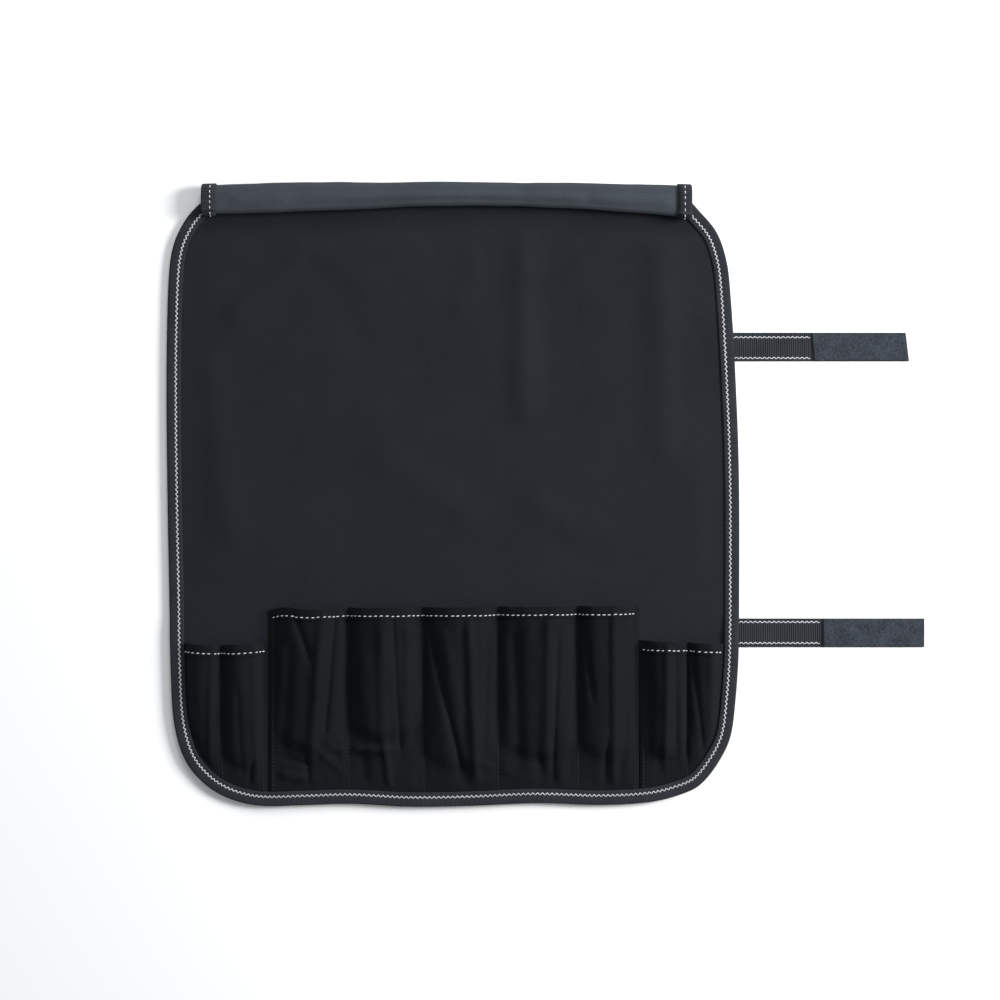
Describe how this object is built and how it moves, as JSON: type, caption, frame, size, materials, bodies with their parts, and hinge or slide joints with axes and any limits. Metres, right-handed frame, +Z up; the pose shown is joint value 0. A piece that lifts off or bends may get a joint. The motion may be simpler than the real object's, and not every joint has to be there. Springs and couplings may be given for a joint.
{
  "type": "knife roll",
  "caption": "Open chef knife roll lying flat: taped cloth panel, rolled closing flap, sewn handle pockets of uneven widths and webbing straps with hook tape.",
  "frame": {"origin": "middle of the open roll's underside, straps included, on the surface it lies on", "axes": "+X across the open roll towards the straps' free ends, +Y from the pockets' lower edge to the flap, +Z up out of the lining"},
  "size_m": [0.662, 0.5442, 0.0228],
  "materials": {
    "shell_cloth": "matte charcoal grey canvas",
    "lining_cloth": "matte black plain weave",
    "pocket_cloth": "matte black plain weave",
    "webbing": "matte ribbed black webbing",
    "hook_tape": "fuzzy dark grey tape",
    "loop_tape": "fuzzy black tape"
  },
  "bodies": {
    "root": {"outer_shell": "shell_cloth", "lining": "lining_cloth", "edge_binding": "webbing", "flap_binding_left": "webbing", "flap_binding_right": "webbing", "pocket_strip_left": "pocket_cloth", "pocket_strip_middle_left": "pocket_cloth", "pocket_strip_middle_right": "pocket_cloth", "pocket_strip_right": "pocket_cloth", "strap_upper": "webbing", "strap_lower": "webbing", "hook_tape_upper": "hook_tape", "hook_tape_lower": "hook_tape", "loop_tape_upper": "loop_tape", "loop_tape_lower": "loop_tape"}
  },
  "joints": []
}
